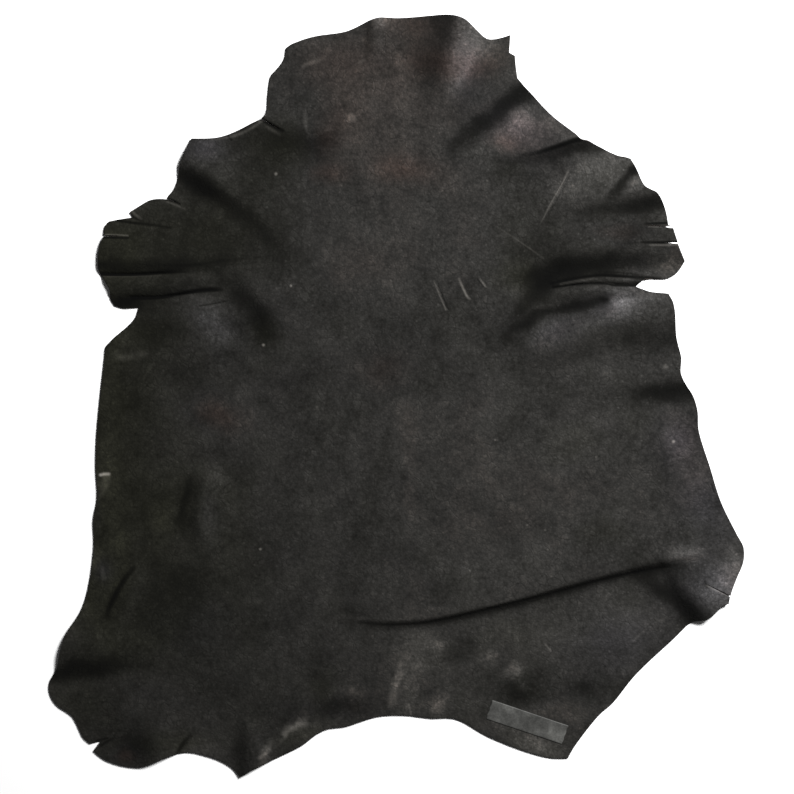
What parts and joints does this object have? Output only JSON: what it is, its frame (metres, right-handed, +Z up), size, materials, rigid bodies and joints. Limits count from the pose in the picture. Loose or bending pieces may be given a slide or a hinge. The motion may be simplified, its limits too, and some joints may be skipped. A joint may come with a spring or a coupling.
{
  "type": "leather hide",
  "caption": "Whole tanned goat hide in matt charcoal black, trimmed at neck, legs and rump, lying grain side up with soft folds and a strip of tape near the rump.",
  "frame": {"origin": "middle of the hide's outline box, on the surface that it lies on", "axes": "+Z up out of the grain side, +Y along the spine towards the neck, +X towards the right legs seen from above"},
  "size_m": [0.834, 0.9132, 0.0125],
  "materials": {
    "black_leather": "drum-dyed, lightly buffed grain, matt",
    "matt_tape": "matt, translucent over the leather"
  },
  "bodies": {
    "root": {"hide": "black_leather", "tape_strip": "matt_tape"}
  },
  "joints": []
}
